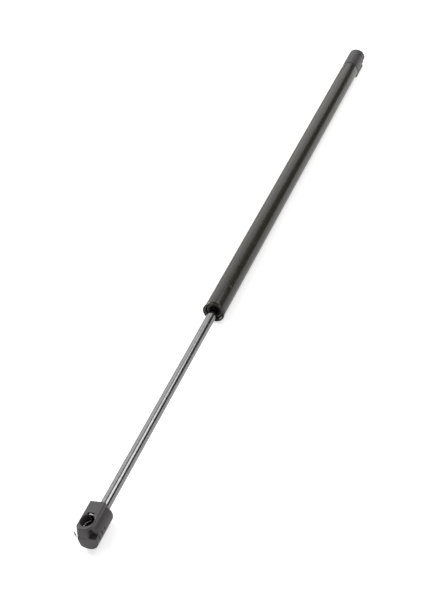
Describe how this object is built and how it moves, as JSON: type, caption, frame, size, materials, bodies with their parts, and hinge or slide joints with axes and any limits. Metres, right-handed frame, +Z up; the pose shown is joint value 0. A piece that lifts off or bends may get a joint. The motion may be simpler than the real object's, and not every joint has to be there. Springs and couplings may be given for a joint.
{
  "type": "gas strut stay",
  "caption": "Gas strut stay: black pressure tube, polished piston rod and moulded ball sockets with wire retaining clips at both ends, shown fully extended.",
  "frame": {"origin": "on the surface that the strut lies on, midway between its two ends and below its axis", "axes": "+X along the strut from the rod end to the tube end, +Z up, out of the rod end's ball socket; the tube end's socket faces -Z"},
  "size_m": [0.69, 0.019, 0.019],
  "materials": {
    "tube_paint": "glossy black paint on steel",
    "rod_steel": "polished steel, darker than bright chrome",
    "zinc_steel": "plain turned steel",
    "spring_wire": "bright spring steel wire",
    "socket_nylon": "dark grey glass-filled nylon, moulded",
    "guide_plastic": "moulded bearing plastic",
    "sleeve_bronze": "lined bronze bearing strip",
    "seal_rubber": "nitrile rubber",
    "piston_sinter": "sintered iron, matt"
  },
  "bodies": {
    "cylinder": {"pressure_tube": "tube_paint", "rod_guide_bush": "guide_plastic", "guide_bearing_sleeve": "sleeve_bronze", "rod_dust_wiper": "seal_rubber", "guide_o_ring": "seal_rubber", "rod_lip_seal": "seal_rubber", "seal_support_washer": "zinc_steel", "base_plug_stud": "zinc_steel", "base_plug_o_ring": "seal_rubber", "tube_end_socket": "socket_nylon"},
    "piston_slider": {"piston_ring": "seal_rubber"},
    "rod": {"piston_rod": "rod_steel", "extension_bumper": "seal_rubber", "piston_front_washer": "zinc_steel", "piston_body": "piston_sinter", "labyrinth_disc": "zinc_steel", "piston_back_washer": "zinc_steel", "rod_end_socket": "socket_nylon"},
    "rod_clip": {"rod_end_clip": "spring_wire"},
    "tube_clip": {"tube_end_clip": "spring_wire"}
  },
  "joints": [
    {"name": "stroke", "type": "slide", "parent": "cylinder", "child": "piston_slider", "axis": [1, 0, 0], "range_m": [0, 0.205], "stiffness_N_per_m": 600, "springref_m": -0.667},
    {"name": "rod_spin", "type": "hinge", "parent": "piston_slider", "child": "rod", "pos_m": [0, 0, 0.0095], "axis": [1, 0, 0], "continuous": true},
    {"name": "rod_clip_release", "type": "slide", "parent": "rod", "child": "rod_clip", "axis": [-1, 0, 0], "range_m": [0, 0.003]},
    {"name": "tube_clip_release", "type": "slide", "parent": "cylinder", "child": "tube_clip", "axis": [1, 0, 0], "range_m": [0, 0.003]}
  ]
}
